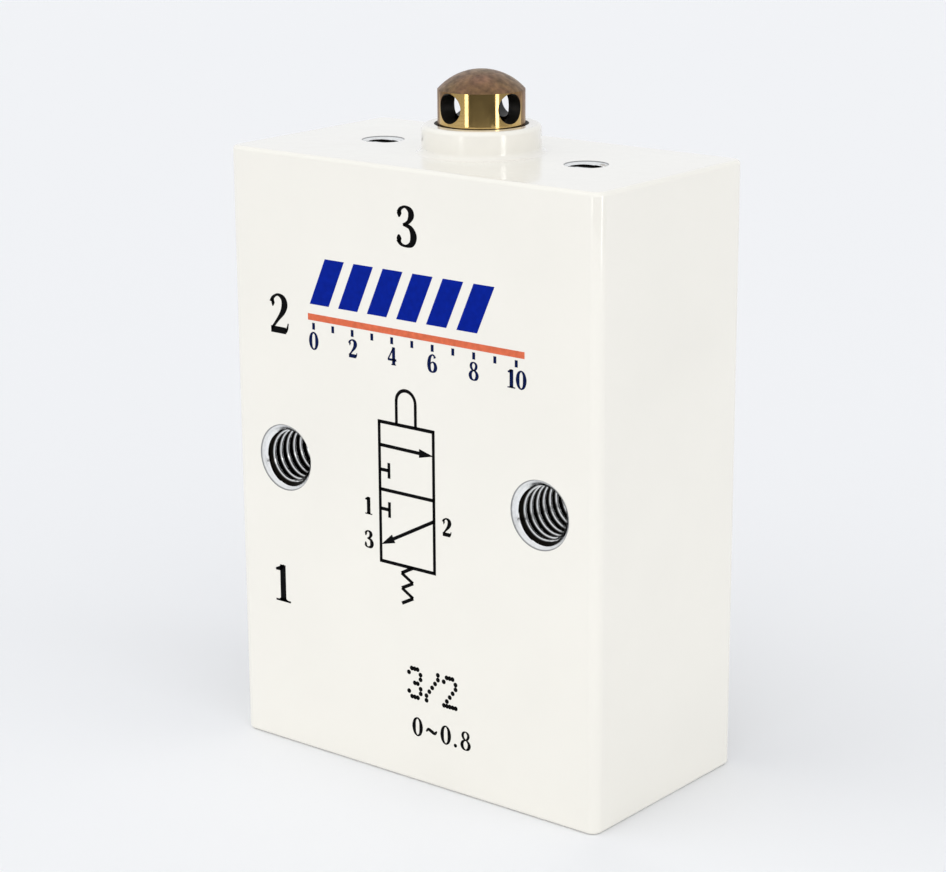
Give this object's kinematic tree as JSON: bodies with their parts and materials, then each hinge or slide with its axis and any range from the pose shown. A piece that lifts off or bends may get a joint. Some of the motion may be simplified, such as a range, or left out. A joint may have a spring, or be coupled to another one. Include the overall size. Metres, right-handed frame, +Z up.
{
  "type": "pneumatic control valve",
  "caption": "Small mechanical 3/2 poppet valve: painted rectangular block with side ports, tapped mounting holes and a domed hollow brass plunger standing in a neck on top",
  "frame": {"origin": "centre of the block's underside, on the axis of the main bore", "axes": "+Z up along the plunger, -Y out of the printed front face, -X out of the ports"},
  "size_m": [0.0368, 0.019, 0.0565],
  "materials": {
    "painted_block": "gloss cream-white paint on aluminium",
    "turned_brass": "turned brass",
    "seal_rubber": "black nitrile rubber",
    "spring_steel": "bright spring steel"
  },
  "bodies": {
    "housing": {"valve_body": "painted_block", "plunger_seal": "seal_rubber", "guide_bush": "turned_brass", "bush_snap_ring": "spring_steel", "plunger_spring": "spring_steel", "valve_seat": "turned_brass", "valve_seat_seal": "seal_rubber", "valve_cage": "turned_brass", "poppet_spring": "spring_steel", "bottom_plug": "turned_brass", "bottom_plug_seal": "seal_rubber"},
    "push_rod": {"plunger": "turned_brass"},
    "closing_head": {"poppet": "turned_brass", "poppet_seal_disc": "seal_rubber"}
  },
  "joints": [
    {"name": "plunger_press", "type": "slide", "parent": "housing", "child": "push_rod", "axis": [0, 0, -1], "range_m": [0, 0.0025], "stiffness_N_per_m": 1200, "springref_m": -0.003, "deforming": ["plunger_spring"]},
    {"name": "poppet_lift", "type": "slide", "parent": "housing", "child": "closing_head", "axis": [0, 0, -1], "range_m": [0, 0.0016], "stiffness_N_per_m": 1500, "springref_m": -0.003, "deforming": ["poppet_spring"]}
  ],
  "couplings": [
    {"joint": "poppet_lift", "follows": "plunger_press", "ratio": 0.64}
  ]
}
